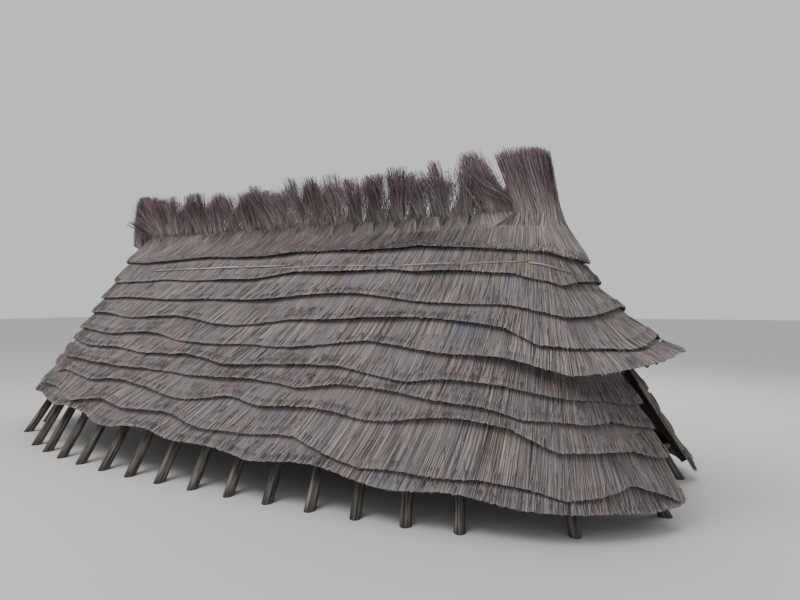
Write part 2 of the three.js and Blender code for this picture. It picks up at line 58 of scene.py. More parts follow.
# The thatched form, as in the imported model
SHIFT_X = 0.46
RIDGE_HEIGHT = 3.54
RIDGE_REAR = -4.356
RIDGE_FRONT = 3.476
PLAN_CENTRE = 0.341
REAR_REACH = 6.45
FRONT_REACH = 5.15
HALF_WIDTH = 2.574
REAR_ROUNDNESS = 2.5
FRONT_ROUNDNESS = 3.24
REED_FAN = 0.89
EAVE_HEIGHT = 0.471
EAVE_FALL = 0.043
FRONT_DROP = 0.2  # the eave comes lower still towards the doorway
FRONT_DROP_START = 3.4
SLOPE_LENGTH = 4.0
THATCH_DEPTH = 0.11
BUTT_STEP = 0.055
LAP = 0.05
TUCK_PART = 0.55  # the most of a short course that the one below it laps under
COURSE_ENDS = [0.16, 0.285, 0.395, 0.495, 0.592, 0.675, 0.748, 0.825, 0.925, 0.985]
HOOD_ENDS = [0.2, 0.284, 0.383, 0.486, 0.53]
HOOD_COURSES = len(HOOD_ENDS)
HOOD_SPREAD = 0.125
HOOD_SLOPES = [0, *HOOD_ENDS, 0.6]
HOOD_REACHES = [0.16, 0.317, 0.39, 0.56, 0.75, 0.93, 1.1]
CREST_START = 0.05
DOOR_HALF_WIDTH = 0.66
DOOR_SPLAYS = [0, 0, 0.0035, 0.008, 0.013]  # how much sooner each wall course stops there
STATIONS = 48
CREST_FRONT = 5 / STATIONS
CREST_REAR = 19 / STATIONS

# Reed as it is laid
REED_RADIUS = 0.0045
HANDFUL = 0.022  # width of a handful of reed at the eave

# Places of the finishes in a piece of thatch and in a piece of timber
# The butts' finish paints the cut reed ends darker and also paints in the shadow under each course's
# edge
FACE, BUTT_AND_SHADOW, LOOSE, CROSSED = range(4)
BARK, CUT, FIBRE = range(3)

# Where each kind of piece starts its random draws
SEEDS = {"crest near": 5, "crest far": 6, "crest front": 8, "crest rear": 9, "course": 40}
SEEDS |= {"rafter pair": 300, "lone rafter": 330, "rails": 350, "hood rafter": 370}
SEEDS |= {"ridge pole": 380, "rods near": 390, "rods far": 391}


def draws(kind, number=0):
    return np.random.default_rng(SEEDS[kind] + number)


def soft_step(x, low, high):
    t = np.clip((x - low) / (high - low), 0, 1)
    return t * t * (3 - 2 * t)


def mix(a, b, t):
    return a + (b - a) * t


def unit(v):
    return v / np.maximum(np.linalg.norm(v, axis=-1, keepdims=True), 1e-9)


# The oval plan and the slopes that rise from it


def oval_outline():
    angle = np.linspace(0, 2 * np.pi, 721)
    c, s = np.cos(angle), np.sin(angle)
    power = 2 / np.where(c > 0, FRONT_ROUNDNESS, REAR_ROUNDNESS)
    reach = np.where(c > 0, FRONT_REACH, REAR_REACH)
    x = PLAN_CENTRE + reach * np.sign(c) * np.abs(c) ** power
    y = -HALF_WIDTH * np.sign(s) * np.abs(s) ** power
    walked = np.concatenate([[0], np.cumsum(np.hypot(np.diff(x), np.diff(y)))])
    return x, y, walked


OVAL_X, OVAL_Y, OVAL_WALKED = oval_outline()
PERIMETER = OVAL_WALKED[-1]


def eave_at(share):
    walked = np.mod(share, 1) * PERIMETER
    x = np.interp(walked, OVAL_WALKED, OVAL_X)
    y = np.interp(walked, OVAL_WALKED, OVAL_Y)
    drop = FRONT_DROP * soft_step(x, FRONT_DROP_START, PLAN_CENTRE + FRONT_REACH)
    return x, y, EAVE_HEIGHT - EAVE_FALL * x - drop


def door_share():
    shares = np.arange(0, 0.5, 0.0005)
    return shares[np.argmax(-eave_at(shares)[1] >= DOOR_HALF_WIDTH)]


DOOR_SHARE = door_share()


def from_front(share):
    """How far a place is from the middle of the front, on either side of it."""
    around = np.mod(share, 1)
    return np.minimum(around, 1 - around)


def to_rear(share, amount):
    """The amount with the sign that leads to the rear on this side of the plan."""
    return np.where(np.mod(share, 1) < 0.5, amount, -amount)


def on_side(side, start, end):
    """A range of the near side's shares, or the same range on the far side."""
    return (start, end) if side == "near" else (1 - end, 1 - start)


def hood_at(share):
    return 1 - soft_step(from_front(share), 0, HOOD_SPREAD)


def slope_point(share, slope, hooded):
    """Points of the thatch's face, before any thickness of reed stands proud of it."""
    share, slope = np.broadcast_arrays(np.asarray(share, float), np.asarray(slope, float))
    eave_x, eave_y, eave_z = eave_at(share)
    middle = (RIDGE_REAR + RIDGE_FRONT) / 2
    ridge_x = np.clip(middle + (eave_x - PLAN_CENTRE) * REED_FAN, RIDGE_REAR, RIDGE_FRONT)
    hood = hood_at(share) if hooded else 0
    reach = mix(slope, np.interp(slope, HOOD_SLOPES, HOOD_REACHES), hood)
    x = mix(ridge_x, eave_x, reach) + SHIFT_X
    return np.stack([x, eave_y * reach, mix(RIDGE_HEIGHT, eave_z, slope)], -1)


def outward(share, slope, hooded):
    step = 0.004
    at = np.maximum(slope, 0.12)
    around = slope_point(share + step, at, hooded) - slope_point(share - step, at, hooded)
    down = slope_point(share, at + step, hooded) - slope_point(share, at - step, hooded)
    normal = unit(np.cross(down, around))
    return np.where(normal[..., 2:] < 0, -normal, normal)


def thatch_point(share, slope, out, hooded):
    normal = outward(share, slope, hooded)
    return slope_point(share, slope, hooded) + normal * np.asarray(out)[..., None]


def wandering(share, turns, seed):
    """A smooth, random wave between -1 and 1 that closes on itself round the plan."""
    knots = np.random.default_rng(seed).uniform(-1, 1, turns)
    at = np.mod(share, 1) * turns
    low = np.floor(at).astype(int) % turns
    return mix(knots[low], knots[(low + 1) % turns], soft_step(at - np.floor(at), 0, 1))


# Reed leans towards the front as it climbs: metres sideways for each metre up the slope
LEAN_SHARES = [0, 0.045, 0.09, 0.12, 0.155, 0.185, 0.235, 0.31, 0.41, 0.5]
LEANS = [0, 0, 0.19, 0.28, 0.36, 0.42, 0.5, 0.6, 0.4, 0]


def climbed(share, rise):
    """Where a stem laid at a share of the plan is, once it has climbed this share of the slope."""
    lean = np.interp(from_front(share), LEAN_SHARES, LEANS)
    return share - to_rear(share, lean) * rise * SLOPE_LENGTH / PERIMETER


# The wall courses are trimmed to one straight line beside the doorway
JAMB_SLOPES = COURSE_ENDS[HOOD_COURSES:]
JAMB_WIDTH = 0.03


def trimmed(share, slope, door):
    """Moves the end of a wall course, which stops at the share door, onto the doorway's edge."""
    line = DOOR_SHARE + np.interp(slope, JAMB_SLOPES, DOOR_SPLAYS)
    shift = (line - door) * (1 - soft_step(from_front(share), door, door + JAMB_WIDTH))
    return share + to_rear(share, shift)


# Where each course ends and tucks in


def plain_end(course, share):
    wave = np.sin((share * (9 + course)) * np.pi * 2 + course * 2.4) * 0.007
    return COURSE_ENDS[course] + wave


def course_end(course, share):
    plain = plain_end(course, share)
    if course >= HOOD_COURSES:
        return plain
    return mix(plain, HOOD_ENDS[course], hood_at(share))


def course_start(course, share):
    if course == 0:
        return np.full_like(share, CREST_START)
    if course == HOOD_COURSES:
        return plain_end(course - 1, share)
    return course_end(course - 1, share)


def course_top(course, share):
    """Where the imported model's course starts, under the one above it."""
    if course == 0:
        return np.full_like(share, CREST_START)
    start = course_start(course, share)
    before = course - 1
    own = course_end(before, share) - course_start(before, share)
    tucked = start - np.minimum(LAP, TUCK_PART * own)
    if course != HOOD_COURSES:
        return tucked
    hood = hood_at(share)
    dip = 0.014 * soft_step(hood, 0, 0.06) * (1 - soft_step(hood, 0.4, 0.6))
    return tucked + dip - 0.1 * soft_step(hood, 0.5, 1)


EDGE_COVER = 0.024  # how far a course reaches under the cut edge above it, at least


def tucked_top(course, share):
    """The course's top, taken higher where the edge of the course above it strays upwards."""
    top = course_top(course, share)
    return top if course == 0 else np.minimum(top, visible_end(course - 1, share) - EDGE_COVER)


OUTER_ROWS = 6
EDGE_WAVES = [(23, 0.015), (47, 0.008), (101, 0.003)]  # turns round the plan, share of slope
EDGE_STRAY = 0.044
EDGE_PLAY = [0.35, 0.45, 0.5, 0.6, 0.8, 1, 1, 1, 1, 0.8]  # how much each course's edge waves
MARKED_PLAY = 0.25  # what is left of the waves where the edge follows the marks
MARKED_SHARES = (0.17, 0.23)  # where the marks give way to the waves
MARKS_FADE = 0.03

# Where the cut edge of each course runs, as shares round the plan and down the slope
EDGE_MARKS = [
    [(0.097, 0.166), (0.147, 0.138), (0.165, 0.146), (0.183, 0.149), (0.231, 0.138)],
    [(0.012, 0.276), (0.067, 0.304), (0.095, 0.262), (0.147, 0.259), (0.165, 0.241),
     (0.226, 0.246)],
    [(0.016, 0.372), (0.076, 0.414), (0.101, 0.384), (0.147, 0.38), (0.183, 0.353), (0.22, 0.37)],
    [(0.0, 0.474), (0.045, 0.504), (0.09, 0.516), (0.102, 0.47), (0.17, 0.454), (0.215, 0.474)],
    [(0.015, 0.522), (0.052, 0.554), (0.08, 0.592), (0.104, 0.572), (0.17, 0.546), (0.21, 0.584)],
    [(0.078, 0.676), (0.105, 0.664), (0.147, 0.681), (0.165, 0.668), (0.183, 0.651),
     (0.207, 0.668)],
    [(0.026, 0.76), (0.061, 0.726), (0.1, 0.754), (0.118, 0.738), (0.183, 0.714), (0.203, 0.748)],
    [(0.032, 0.84), (0.055, 0.814), (0.088, 0.832), (0.105, 0.79), (0.165, 0.815), (0.201, 0.806)],
    [(0.038, 0.948), (0.062, 0.896), (0.089, 0.956), (0.119, 0.942), (0.165, 0.96), (0.197, 0.91)],
    [(0.05, 0.956), (0.083, 0.982), (0.119, 0.99), (0.147, 1.0), (0.197, 0.986), (0.233, 1.0)],
]


def edge_shift(course, share):
    """How far a course's cut edge strays down the slope from its even line."""
    around = from_front(share)
    marks, slopes = np.array(EDGE_MARKS[course]).T
    strays = slopes - course_end(course, marks)
    marked = np.interp(around, np.append(marks, marks[-1] + MARKS_FADE), np.append(strays, 0))
    waves = sum(
        size * wandering(share, turns + course, 100 * course + turns) for turns, size in EDGE_WAVES
    )
    free = mix(MARKED_PLAY, 1, soft_step(around, *MARKED_SHARES)) * EDGE_PLAY[course]
    return np.clip(marked + waves * free, -EDGE_STRAY, EDGE_STRAY)


def visible_end(course, share):
    return course_end(course, share) + edge_shift(course, share)


LIFT_WAVES = [(37, 61, 0.018), (71, 7, 0.008), (173, 31, 0.003)]  # turns, seed and metres
LIFT_MEAN = 0.016
FAR_JAMB_LIFT = -0.045


def lift_at(course, share):
    """How far a course's butts stand out past their even step."""
    waves = sum(size * wandering(share, turns, seed + course) for turns, seed, size in LIFT_WAVES)
    lift = waves + LIFT_MEAN
    far_door = 1 - soft_step(1 - np.mod(share, 1), DOOR_SHARE, DOOR_SHARE + JAMB_WIDTH)
    return mix(lift, FAR_JAMB_LIFT, far_door) if course >= HOOD_COURSES else lift


def body_height(body, lift):
    """How far a course's face stands out, where body runs from 0 at its start to 1 at its butts."""
    return BUTT_STEP * body**0.8 + lift * body


# Meshes are heaped up from parts, each a set of points, faces, reed places and a finish

NO_POINTS = np.zeros((0, 3))  # for faces that use the points of the part before them


def part(points, faces, places, finish, tips=None):
    tips = np.zeros(len(points)) if tips is None else tips
    return {"points": points, "faces": faces, "places": places, "finish": finish, "tips": tips}


def faced_out(made):
    p, f = made["points"], made["faces"]
    a, b, c = p[f[:, 0]], p[f[:, 1]], p[f[:, 2]]
    volume = np.einsum("ij,ij->i", a, np.cross(b, c)).sum()
    volume += np.einsum("ij,ij->i", a, np.cross(c, p[f[:, 3]])).sum()
    if volume < 0:
        made["faces"] = f[:, ::-1]
        made["places"] = made["places"][:, ::-1]
    return made


def place_object(name, data, place=(0, 0, 0), turn=(0, 0, 0)):
    made = bpy.data.objects.new(name, data)
    bpy.context.scene.collection.objects.link(made)
    made.location = place
    made.rotation_euler = turn
    return made


def piece(name, parts, finishes, nodes, smooth=False):
    """Makes one object of the parts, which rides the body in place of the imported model's nodes."""
    faces, finish, base = [], [], 0
    for made in parts:
        faces += (made["faces"] + base).tolist()
        finish += [made["finish"]] * len(made["faces"])
        base += len(made["points"])
    points, places, tips = (
        np.concatenate([made[key].reshape(-1, size) for made in parts])
        for key, size in (("points", 3), ("places", 2), ("tips", 1))
    )
    mesh = bpy.data.meshes.new(name)
    mesh.from_pydata(points.tolist(), [], faces)
    layer = mesh.uv_layers.new(name="reed_place")
    layer.uv.foreach_set("vector", places.astype(np.float32).ravel())
    tip = mesh.attributes.new("tip", "FLOAT", "POINT")
    tip.data.foreach_set("value", tips.astype(np.float32).ravel())
    mesh.polygons.foreach_set("material_index", finish)
    mesh.polygons.foreach_set("use_smooth", [smooth] * len(faces))
    for material in finishes:
        mesh.materials.append(material)
    made = place_object(name, mesh)
    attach(made, "root")
    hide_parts(*nodes)


def swept_shell(rows, around, closed, down):
    """A closed shell through rows of points; each row runs round the plan."""
    count, columns = len(rows), len(rows[0])
    spans = columns if closed else columns - 1
    i, j = np.meshgrid(np.arange(count), np.arange(spans), indexing="ij")
    next_row, next_column = (i + 1) % count, (j + 1) % columns
    corners = [(i, j), (i, next_column), (next_row, next_column), (next_row, j)]
    faces = np.stack([row * columns + column for row, column in corners], -1).reshape(-1, 4)
    along = np.append(around, around[0] + PERIMETER) if closed else around
    u0, u1 = along[j], along[j + 1]
    v0, v1 = down[i], down[i + 1]
    places = np.stack([np.stack(c, -1) for c in [(u0, v0), (u1, v0), (u1, v1), (u0, v1)]], -2)
    return faced_out(part(np.concatenate(rows), faces, places.reshape(-1, 4, 2), FACE))


def end_caps(rows):
    """Faces that close the two ends of an open shell, as fans of triangles."""
    count = len(rows)
    points = np.concatenate([np.stack([row[column] for row in rows]) for column in (0, -1)])
    fan = [(0, k, k + 1) for k in range(1, count - 1)]
    faces = np.array(fan + [(count + a, count + c, count + b) for a, b, c in fan])
    return part(points, faces, np.zeros((len(faces), 3, 2)), BUTT_AND_SHADOW)


STEM_FACING = (0.31, -0.4, 0.86)  # a direction that no stem runs along


def stem_faces(count, stops):
    base = (np.arange(count) * stops * 3)[:, None, None, None]
    ring = (np.arange(stops - 1) * 3)[None, :, None, None]
    k = np.arange(3)
    side = np.stack([k, (k + 1) % 3, (k + 1) % 3 + 3, k + 3], -1)[None, None]
    feet = base[:, 0, 0] + np.array([0, 2, 1])
    tops = base[:, 0, 0] + (stops - 1) * 3 + np.array([0, 1, 2])
    return (base + ring + side).reshape(-1, 4), np.concatenate([feet, tops])


def stem_places(paths, tone):
    count, stops = paths.shape[:2]
    length = np.linalg.norm(np.diff(paths, axis=1), axis=-1).sum(1)
    v = length[:, None] * np.linspace(0, 1, stops)[None, :]
    u = np.broadcast_to(tone[:, None, None], (count, stops - 1, 3))
    v0 = np.broadcast_to(v[:, :-1, None], u.shape)
    v1 = np.broadcast_to(v[:, 1:, None], u.shape)
    sides = np.stack([np.stack([u, w], -1) for w in (v0, v0, v1, v1)], -2).reshape(-1, 4, 2)
    ends = np.repeat(tone, 3).reshape(-1, 3, 1) * np.array([1.0, 0.0])
    return sides, np.concatenate([ends, ends])


def stems(parts, path, rng, radii, tone, finish, taper, tips=None):
    """Adds closed three-sided stems through rows of points; radii is their range of thickness."""
    paths = np.stack(path, 1)
    count, stops = paths.shape[:2]
    along = unit(np.gradient(paths, axis=1))
    across = unit(np.cross(along, np.broadcast_to(STEM_FACING, along.shape)))
    up = np.cross(across, along)
    radius = rng.uniform(*radii, count) * REED_RADIUS
    thick = radius[:, None] * np.linspace(1, taper, stops)[None, :]
    rings = []
    for k in range(3):
        angle = math.pi * 2 * k / 3
        turned = up * math.cos(angle) + across * math.sin(angle)
        rings.append(paths + turned * thick[..., None])
    points = np.stack(rings, 2).reshape(-1, 3)
    sides, ends = stem_faces(count, stops)
    side_places, end_places = stem_places(paths, tone)
    if tips is not None:
        tips = np.tile(np.repeat(tips, 3), count)
    parts.append(part(points, sides, side_places, finish, tips))
    parts.append(part(NO_POINTS, ends - len(points), end_places, finish))


# Thatch courses

RAGGED = 0.0011  # how unevenly the handfuls are cut, as a share of the slope
PLUMP = 0.0022  # and how unevenly they stand out, in metres
EDGE_REEDS = 40  # stems for each metre of the plan
LAID_REEDS = 32
JAMB_STEMS = 60


def course_columns(from_share, to_share, rng):
    count = max(8, int((to_share - from_share) * PERIMETER / HANDFUL))
    shares = np.linspace(from_share, to_share, count + 1)
    inner = shares[1:-1] + rng.uniform(-0.3, 0.3, count - 1) / count * (to_share - from_share)
    return np.concatenate([[shares[0]], inner, [shares[-1]]])


def course_profile(course, shares, ragged, plump):
    """Slopes and heights of a course's rows: down its face, round its butts and back inside."""
    start, end = course_start(course, shares), visible_end(course, shares)
    top, lift = tucked_top(course, shares), lift_at(course, shares)
    butt = end + ragged
    inside = -THATCH_DEPTH
    if course == 0:
        run = slope_point(shares, CREST_START, True)[:, 1]
        inside = -np.minimum(THATCH_DEPTH, 0.6 * np.maximum(np.abs(run), 0.05))
    profile = [(top, inside), (top, 0.0)]
    for t in np.linspace(0, 1, OUTER_ROWS)[1:]:
        profile.append((mix(start if course else top, butt, t), body_height(t, plump + lift)))
    profile += [(butt - 0.005, BUTT_STEP * 0.45 + lift * 0.5), (butt - 0.014, -0.004)]
    under = end - np.minimum(LAP, TUCK_PART * (end - start)) - 0.001
    return profile + [(under, -0.002), (under, inside)]


def course_rows(course, shares, closed, rng):
    hooded = course < HOOD_COURSES
    ragged = rng.normal(0, RAGGED, len(shares))
    plump = rng.normal(0, PLUMP, len(shares))
    if closed:
        ragged[-1], plump[-1] = ragged[0], plump[0]
    end = visible_end(course, shares)
    rows = []
    for slope, out in course_profile(course, shares, ragged, plump):
        along = climbed(shares, end - slope)
        if not hooded:
            along = trimmed(along, slope, shares[0])
        rows.append(thatch_point(along, slope, out, hooded))
    return rows


def course_shell(course, shares, rng):
    """The body of a course, with its face in handfuls and its butts cut a little uneven."""
    closed = 0 < course < HOOD_COURSES
    rows = course_rows(course, shares, closed, rng)
    lengths = [np.linalg.norm(b - a, axis=-1).mean() for a, b in zip(rows, rows[1:])]
    down = np.concatenate([[0], np.cumsum(lengths), [sum(lengths) + THATCH_DEPTH]])
    around = shares * PERIMETER
    if closed:
        rows = [row[:-1] for row in rows]
        around = around[:-1]
    shell = swept_shell(rows, around, closed, down + 2.3 * course)
    points, faces, places = shell["points"], shell["faces"], shell["places"]
    row_of = np.repeat(np.arange(len(rows)), len(faces) // len(rows))
    # The butt faces and the recess beneath them take the dark butt finish: darker cut reed ends plus
    # painted shadow under the edge
    dark = (row_of >= OUTER_ROWS) & (row_of <= OUTER_ROWS + 2)
    parts = [
        part(points, faces[~dark], places[~dark], FACE),
        part(NO_POINTS, faces[dark] - len(points), places[dark], BUTT_AND_SHADOW),
    ]
    return parts if closed else parts + [end_caps(rows)]


def edge_reeds(parts, course, from_share, to_share, rng):
    """Single stems whose cut ends stick out of the course's edge by uneven lengths."""
    hooded = course < HOOD_COURSES
    count = int((to_share - from_share) * PERIMETER * EDGE_REEDS)
    share = rng.uniform(from_share, to_share, count)
    end = visible_end(course, share)
    down = np.abs(rng.normal(0, 0.0016, count))
    out = rng.uniform(0.75, 1.02, count) * BUTT_STEP + lift_at(course, share)
    askew = rng.normal(0, 0.0003, count)
    path = []
    for k, (up, near) in enumerate([(0.03, 0.92), (0.0, 1.0)]):
        along = climbed(share, up) + askew * k
        path.append(thatch_point(along, end + down - up, out * near, hooded))
    tone = share * PERIMETER + rng.normal(0, 0.3, count)
    stems(parts, path, rng, (0.6, 1.2), tone, LOOSE, 0.9)


def laid_reeds(parts, course, from_share, to_share, rng):
    """Stems that lie loose on the face of the course, a little askew."""
    hooded = course < HOOD_COURSES
    count = int((to_share - from_share) * PERIMETER * LAID_REEDS)
    share = rng.uniform(from_share, to_share, count)
    start, end = course_start(course, share), visible_end(course, share)
    low = mix(start, end, rng.uniform(0.35, 1.0, count)) + 0.0005
    length = rng.uniform(0.3, 0.8, count) * (end - start)
    high = np.maximum(low - length, start + 0.004)
    askew = rng.normal(0, 0.0008, count)
    path = []
    for t in (0.0, 0.5, 1.0):
        slope = mix(high, low, t)
        body = np.clip((slope - start) / (end - start), 0, 1)
        out = body_height(body, lift_at(course, share)) + REED_RADIUS * 0.8
        along = climbed(share, low - slope) + askew * (t - 0.5)
        path.append(thatch_point(along, slope, out, hooded))
    tone = share * PERIMETER + rng.normal(0, 0.6, count)
    stems(parts, path, rng, (0.6, 1.15), tone, LOOSE, 0.8)


def jamb_reeds(parts, course, door, rng):
    """Long stems that lie down the far edge of the doorway and finish it."""
    depth = rng.uniform(-0.032, 0.014, JAMB_STEMS)
    stray = rng.uniform(-0.0004, 0.0009, JAMB_STEMS)
    far = 1 - door
    top = course_start(course, far) - 0.03
    end = course_end(course, far) + rng.normal(0, 0.006, JAMB_STEMS)
    path = []
    for t in (0.0, 0.5, 1.0):
        slope = mix(top, end, t)
        path.append(thatch_point(trimmed(far, slope, door) + stray, slope, depth, False))
    stems(parts, path, rng, (0.8, 1.3), rng.uniform(0, 2, JAMB_STEMS), LOOSE, 0.8)


def laid_course(course, start, end, rng):
    """The body and the loose stems of a course between two shares of the plan."""
    parts = course_shell(course, course_columns(start, end, rng), rng)
    edge_reeds(parts, course, start, end, rng)
    laid_reeds(parts, course, start, end, rng)
    return parts


def thatch_course(course, finishes):
    rng = draws("course", course)
    wall = course >= HOOD_COURSES
    door = DOOR_SHARE + DOOR_SPLAYS[course - HOOD_COURSES] if wall else 0.0
    parts = laid_course(course, door, 1 - door, rng)
    if wall:
        jamb_reeds(parts, course, door, rng)
    name = f"thatch_{'wall' if wall else 'hooded'}_course_{course}"
    piece(f"reed_course_{course}", parts, finishes, [name])


# The crest: bundles of reed tips that cross over the ridge in turn

BUNDLES = 19  # on each side
BUNDLES_FRONT = 2.98
BUNDLES_REAR = -4.1
BUNDLE_RISE = 0.87
BUNDLE_LEAN = 0.25
CREST_STEMS = 4700
BRUSH_PAST = 0.02  # how far the brush runs past its course, up to the big tufts
LOOSE_STEMS = 0.33  # part of the stems that isn't gathered into the bundles
LAST_BUNDLE = (-2.2, 0.0, 1.4, -0.6)  # sway, lean, rise and spread of the one by the front tuft


def up_the_top_course(share, foot, depth):
    """Points of stems that climb the face of the top course, from their feet to the ridge."""
    stops = []
    for t in (1.0, 0.1):
        slope = mix(CREST_START, foot, t)
        out = body_height(t, lift_at(0, share)) + 0.008 + 0.006 * depth
        stops.append(thatch_point(climbed(share, foot - slope), slope, out, True))
    return stops


def bundled(ridge_x, shift):
    """The bundle that each stem belongs to, and the middle of that bundle."""
    pitch = (BUNDLES_FRONT - BUNDLES_REAR) / BUNDLES
    first = BUNDLES_REAR + pitch * shift
    bundle = np.clip(np.round((ridge_x - first) / pitch), 0, BUNDLES - 1).astype(int)
    return bundle, first + pitch * bundle


def crest_brush(parts, side, rng):
    """Stems that climb from the top course's edge, gather in bundles, cross the ridge and fan."""
    sign, shift, forward = (1, 0.25, 0.16) if side == "near" else (-1, 0.75, 0.03)
    start, end = on_side(side, CREST_FRONT, CREST_REAR)
    share = rng.uniform(start - BRUSH_PAST, end + BRUSH_PAST, CREST_STEMS)
    depth = rng.uniform(-1, 1, CREST_STEMS)
    foot = visible_end(0, share) - rng.uniform(0, 0.03, CREST_STEMS)
    stops = up_the_top_course(share, foot, depth)
    ridge_x = slope_point(climbed(share, foot), 0, True)[:, 0] - SHIFT_X
    ridge_x = np.clip(ridge_x, BUNDLES_REAR - 0.1, BUNDLES_FRONT + 0.3)
    bundle, middle_x = bundled(ridge_x, shift)
    habits = rng.uniform(-1, 1, (4, BUNDLES))
    habits[:, -1] = LAST_BUNDLE
    sway, lean, rise, spread = habits[:, bundle]
    loose = rng.random(CREST_STEMS) < LOOSE_STEMS
    offset = ridge_x - middle_x
    near_middle = np.clip(offset, -0.2, 0.2)
    across = near_middle * np.where(loose, 1.0, 0.4) + (offset - near_middle) * 0.9
    stray = rng.normal(0, 1, (2, CREST_STEMS)) * np.where(loose, 2.2, 1.0)
    fan = np.clip(across, -0.2, 0.2) * (0.6 + 0.6 * spread)
    tip_x = middle_x + across + fan + forward + sway * 0.15 + stray[0] * 0.032
    tip_y = sign * (BUNDLE_LEAN * (1 + 0.4 * lean) + depth * 0.06) + stray[1] * 0.03
    beyond = soft_step(np.abs(offset - near_middle), 0.05, 0.2)
    reach = np.where(loose, 0.82, 0.87 + 0.13 * rise) * (1 - 0.5 * beyond)
    height = BUNDLE_RISE * reach * (1 - 0.45 * rng.beta(1.0, 2.8, CREST_STEMS))
    tip = np.stack([tip_x + SHIFT_X, tip_y, RIDGE_HEIGHT + height], -1)
    waist_y, waist_z = sign * (0.03 + depth * 0.05), RIDGE_HEIGHT + 0.09 + depth * 0.03
    waist = np.stack([middle_x + across + SHIFT_X, waist_y, waist_z], -1)
    path = stops + [waist, mix(waist, tip, np.array([0.42, 0.52, 0.55])), tip]
    tone = bundle * 7.3 + rng.uniform(0, 0.8, CREST_STEMS)
    stems(parts, path, rng, (0.8, 1.35), tone, CROSSED, 0.45, [0, 0.1, 0.3, 0.65, 1.0])


def crest_side(side, finishes):
    rng = draws(f"crest {side}")
    parts = laid_course(0, *on_side(side, CREST_FRONT, CREST_REAR), rng)
    crest_brush(parts, side, rng)
    piece(f"crest_{side}", parts, finishes, [f"thatch_crest_{side}"])


# Rings of the big tufts: middle X, Z, half length and half width
FRONT_TUFT = [(3.566, 3.305, 0.21, 0.11), (3.526, 3.54, 0.30, 0.20), (3.316, 4.32, 0.335, 0.33)]
REAR_TUFT = [(-4.426, 3.315, 0.085, 0.085), (-4.456, 3.54, 0.14, 0.18), (-4.166, 4.30, 0.20, 0.26)]
# Their rings, the stems of their hearts and those swept up, and the shares where their course runs
TUFTS = {
    "front": (FRONT_TUFT, 900, 2400, -CREST_FRONT, CREST_FRONT),
    "rear": (REAR_TUFT, 500, 1500, CREST_REAR, 1 - CREST_REAR),
}
TUFT_REACH = 1.1  # the tips' height over the crossing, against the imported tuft's
TUFT_SPREADS = (0.55, 0.775, 1.0)  # how wide the heart opens at each ring
TIP_FALL = 0.42  # how much lower the lowest tips end
LEVEL = np.array([1, 1, 0])


def big_tuft(parts, rings, count, rng):
    """The heart of the tuft: stems gathered at the ridge's end and fanned out above."""
    angle = rng.uniform(0, 2 * np.pi, count)
    out = np.sqrt(rng.uniform(0, 1, count))
    height = TUFT_REACH + 0.04 - TIP_FALL * rng.beta(1.2, 2.6, count)
    stray = rng.normal(0, 0.03, (count, 3)) * LEVEL
    stops = []
    for (x, z, long, wide), spread in zip(rings, TUFT_SPREADS):
        at_x = x + long * out * np.cos(angle) * spread + SHIFT_X
        at_y = wide * out * np.sin(angle) * spread
        stops.append(np.stack([at_x, at_y, np.full(count, z)], -1))
    foot, waist, crown = stops
    tip = mix(waist, crown, height[:, None]) + stray
    path = [foot, waist, mix(waist, tip, 0.5) + stray * 0.3, tip]
    tone = rng.uniform(0, 2, count)
    stems(parts, path, rng, (0.8, 1.3), tone, CROSSED, 0.5, [0, 0.15, 0.6, 1.0])


def hood_sweep(parts, rings, count, low_share, high_share, rng):
    """Stems of the roof's end that run up its face and on into the big tuft."""
    share = rng.uniform(low_share, high_share, count)
    foot = visible_end(0, share) - rng.uniform(0, 0.03, count)
    stops = up_the_top_course(share, foot, rng.uniform(-1, 1, count))
    waist_x, waist_z, long, wide = rings[1]
    top_x, top_z, top_long, top_wide = rings[2]
    centre = np.array([waist_x + SHIFT_X, 0, 0])
    away = unit((stops[-1] - centre) * LEVEL)
    ring = rng.uniform(0.7, 1.0, count)[:, None]
    waist = centre + [0, 0, waist_z] + away * ring * np.array([long, wide, 0])
    waist[:, 2] += rng.uniform(-0.09, 0.07, count)
    crown = np.array([top_x + SHIFT_X, 0, top_z]) + away * ring * np.array([top_long, top_wide, 0])
    rise = TUFT_REACH - TIP_FALL * rng.beta(1.2, 2.6, count)[:, None]
    tip = mix(waist, crown, rise) + rng.normal(0, 0.028, (count, 3)) * LEVEL
    path = stops + [waist, mix(waist, tip, 0.5), tip]
    tone = share * 20 + rng.uniform(0, 0.6, count)
    stems(parts, path, rng, (0.8, 1.3), tone, CROSSED, 0.5, [0, 0.05, 0.2, 0.6, 1.0])


def crest_end(side, finishes):
    rng = draws(f"crest {side}")
    rings, heart, swept, start, end = TUFTS[side]
    parts = laid_course(0, start, end, rng)
    big_tuft(parts, rings, heart, rng)
    hood_sweep(parts, rings, swept, start - 0.004, end + 0.004, rng)
    piece(f"crest_{side}", parts, finishes, [f"thatch_crest_{side}"])


# Round timber

LOG_SIDES = 14
LOG_STEP = 0.16  # the distance between the rings of a pole
LOG_FACING = np.array([0.13, 0.21, 0.97])  # a direction that no pole runs along


def pole_line(path, radii):
    """Even stops along a path: the distance walked, the place and the radius at each."""
    steps = np.linalg.norm(np.diff(path, axis=0), axis=-1)
    walked = np.concatenate([[0], np.cumsum(steps)])
    at = np.linspace(0, walked[-1], max(4, int(walked[-1] / LOG_STEP)))
    centre = np.stack([np.interp(at, walked, path[:, k]) for k in range(3)], -1)
    return at, centre, np.interp(at, walked, np.broadcast_to(radii, (len(path),)))


def round_line(forward, sideways, angle):
    """Directions at each angle round each stop of a line."""
    cos, sin = np.cos(angle)[None, :, None], np.sin(angle)[None, :, None]
    return forward[:, None] * cos + sideways[:, None] * sin


